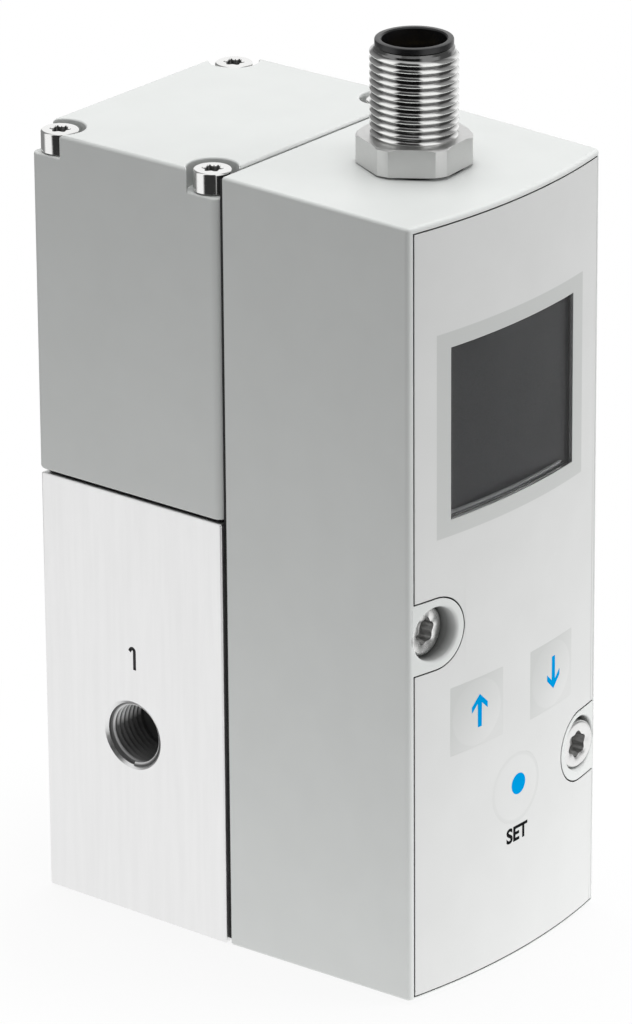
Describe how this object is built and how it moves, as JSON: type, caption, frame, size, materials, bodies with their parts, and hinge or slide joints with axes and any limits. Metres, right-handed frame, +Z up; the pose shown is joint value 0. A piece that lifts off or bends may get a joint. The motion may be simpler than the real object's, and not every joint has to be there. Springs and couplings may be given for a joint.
{
  "type": "electro pneumatic regulator",
  "caption": "Proportional pressure regulator: aluminium valve body with side ports, grey pilot housing, electronics housing with display and keys, round plug connector on top.",
  "frame": {"origin": "centre of the underside of the bounding box", "axes": "+Z up, the display faces -Y, +X is to the right seen from the display"},
  "size_m": [0.0424, 0.0668, 0.129],
  "materials": {
    "light_grey_plastic": "fine moulded grain",
    "panel_foil": "smooth satin foil",
    "aluminium": "fine vertical brushing, clear anodised",
    "plated_brass": "nickel plated",
    "plated_steel": "zinc plated",
    "soft_iron": "bare",
    "spring_steel": "bare wire",
    "black_plastic": "satin",
    "black_rubber": "matt",
    "tinted_window": "clear gloss over a dark display",
    "copper_winding": "enamelled wire",
    "circuit_board": "solder resist",
    "natural_plastic": "unpainted moulding",
    "gold_contact": "gold plated"
  },
  "bodies": {
    "regulator": {"electronics_housing": "light_grey_plastic", "pilot_housing": "light_grey_plastic", "front_panel": "panel_foil", "valve_body": "aluminium", "exhaust_plug": "aluminium", "connector_shell": "plated_brass", "connector_nut": "plated_brass", "mounting_screw_left": "plated_steel", "mounting_screw_right": "plated_steel", "board_screw": "plated_steel", "seat_ring": "plated_steel", "housing_screw_1": "plated_steel", "housing_screw_2": "plated_steel", "housing_screw_3": "plated_steel", "housing_screw_4": "plated_steel", "inlet_yoke": "soft_iron", "exhaust_yoke": "soft_iron", "poppet_spring": "spring_steel", "inlet_spring": "spring_steel", "exhaust_spring": "spring_steel", "connector_insert": "black_plastic", "display_module": "black_plastic", "board_header": "black_plastic", "pilot_header": "black_plastic", "controller_chip": "black_plastic", "up_switch": "black_plastic", "down_switch": "black_plastic", "edit_switch": "black_plastic", "rear_gasket": "black_rubber", "housing_gasket": "black_rubber", "plug_o_ring": "black_rubber", "diaphragm": "black_rubber", "sensor_seal": "black_rubber", "connector_seal": "black_rubber", "display_window": "tinted_window", "inlet_coil": "copper_winding", "exhaust_coil": "copper_winding", "display_board": "circuit_board", "control_board": "circuit_board", "connector_board": "circuit_board", "pilot_board": "circuit_board", "pilot_base": "natural_plastic", "pressure_sensor": "natural_plastic", "connector_pin_1": "gold_contact", "connector_pin_2": "gold_contact", "connector_pin_3": "gold_contact", "connector_pin_4": "gold_contact", "connector_pin_5": "gold_contact", "connector_pin_6": "gold_contact", "connector_pin_7": "gold_contact", "connector_pin_8": "gold_contact"},
    "up_key": {"up_key": "panel_foil"},
    "down_key": {"down_key": "panel_foil"},
    "edit_key": {"edit_key": "panel_foil"},
    "main_valve": {"main_poppet": "plated_brass", "poppet_seal": "black_rubber"},
    "control_piston": {"control_piston": "aluminium", "diaphragm_washer": "plated_steel"},
    "inlet_armature": {"inlet_armature": "soft_iron"},
    "exhaust_armature": {"exhaust_armature": "soft_iron"}
  },
  "joints": [
    {"name": "up_key_press", "type": "slide", "parent": "regulator", "child": "up_key", "axis": [0, 1, 0], "range_m": [0, 0.0004], "stiffness_N_per_m": 600, "springref_m": -0.001},
    {"name": "down_key_press", "type": "slide", "parent": "regulator", "child": "down_key", "axis": [0, 1, 0], "range_m": [0, 0.0004], "stiffness_N_per_m": 600, "springref_m": -0.001},
    {"name": "edit_key_press", "type": "slide", "parent": "regulator", "child": "edit_key", "axis": [0, 1, 0], "range_m": [0, 0.0004], "stiffness_N_per_m": 600, "springref_m": -0.001},
    {"name": "main_valve_open", "type": "slide", "parent": "regulator", "child": "main_valve", "axis": [0, 0, -1], "range_m": [0, 0.0012], "stiffness_N_per_m": 800, "springref_m": -0.002, "deforming": ["poppet_spring"]},
    {"name": "control_piston_lift", "type": "slide", "parent": "main_valve", "child": "control_piston", "axis": [0, 0, 1], "range_m": [0, 0.0008], "stiffness_N_per_m": 300, "springref_m": -0.001, "deforming": ["diaphragm"]},
    {"name": "inlet_armature_lift", "type": "slide", "parent": "regulator", "child": "inlet_armature", "axis": [0, 0, 1], "range_m": [0, 0.0005], "stiffness_N_per_m": 500, "springref_m": -0.001, "deforming": ["inlet_spring"]},
    {"name": "exhaust_armature_lift", "type": "slide", "parent": "regulator", "child": "exhaust_armature", "axis": [0, 0, 1], "range_m": [0, 0.0005], "stiffness_N_per_m": 500, "springref_m": -0.001, "deforming": ["exhaust_spring"]}
  ]
}
